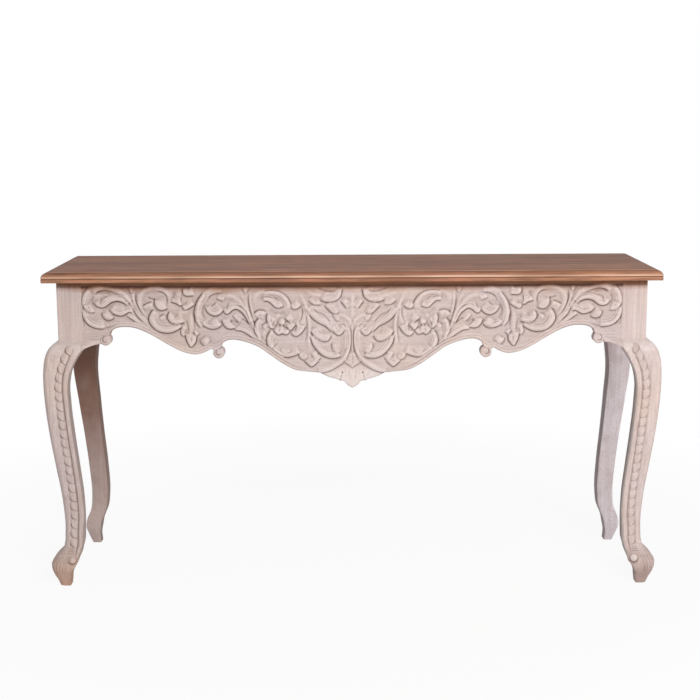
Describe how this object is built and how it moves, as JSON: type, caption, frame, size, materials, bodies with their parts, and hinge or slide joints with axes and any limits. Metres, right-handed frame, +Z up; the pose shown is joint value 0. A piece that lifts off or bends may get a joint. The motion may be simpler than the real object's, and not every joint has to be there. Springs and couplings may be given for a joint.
{
  "type": "pier table",
  "caption": "Long narrow wall table with a moulded plank top, a scroll-carved shaped front apron and four cabriole legs with scroll feet.",
  "frame": {"origin": "on the floor under the middle of the top", "axes": "+Z up, +X along the table's length to the right seen from the front, front towards -Y"},
  "size_m": [1.508, 0.4009, 0.79],
  "materials": {
    "washed_wood": "white-washed, satin",
    "stained_top": "brown stain, satin",
    "bare_wood": "planed, unfinished",
    "screw_steel": "zinc plated"
  },
  "bodies": {
    "root": {"back_apron": "washed_wood", "back_button_left": "bare_wood", "back_button_middle": "bare_wood", "back_button_right": "bare_wood", "back_left_corner_block": "bare_wood", "back_left_leg": "washed_wood", "back_right_corner_block": "bare_wood", "back_right_leg": "washed_wood", "bearer_screws": "screw_steel", "button_screws": "screw_steel", "corner_block_screws": "screw_steel", "front_apron": "washed_wood", "front_button_left": "bare_wood", "front_button_middle": "bare_wood", "front_button_right": "bare_wood", "front_left_corner_block": "bare_wood", "front_left_knee_block": "washed_wood", "front_left_leg": "washed_wood", "front_right_corner_block": "bare_wood", "front_right_knee_block": "washed_wood", "front_right_leg": "washed_wood", "left_cross_bearer": "bare_wood", "left_side_apron": "washed_wood", "left_side_button": "bare_wood", "right_cross_bearer": "bare_wood", "right_side_apron": "washed_wood", "right_side_button": "bare_wood", "side_back_left_knee_block": "washed_wood", "side_back_right_knee_block": "washed_wood", "side_front_left_knee_block": "washed_wood", "side_front_right_knee_block": "washed_wood", "top_board_back": "stained_top", "top_board_front": "stained_top", "top_board_middle": "stained_top", "top_dowels": "bare_wood"}
  },
  "joints": []
}
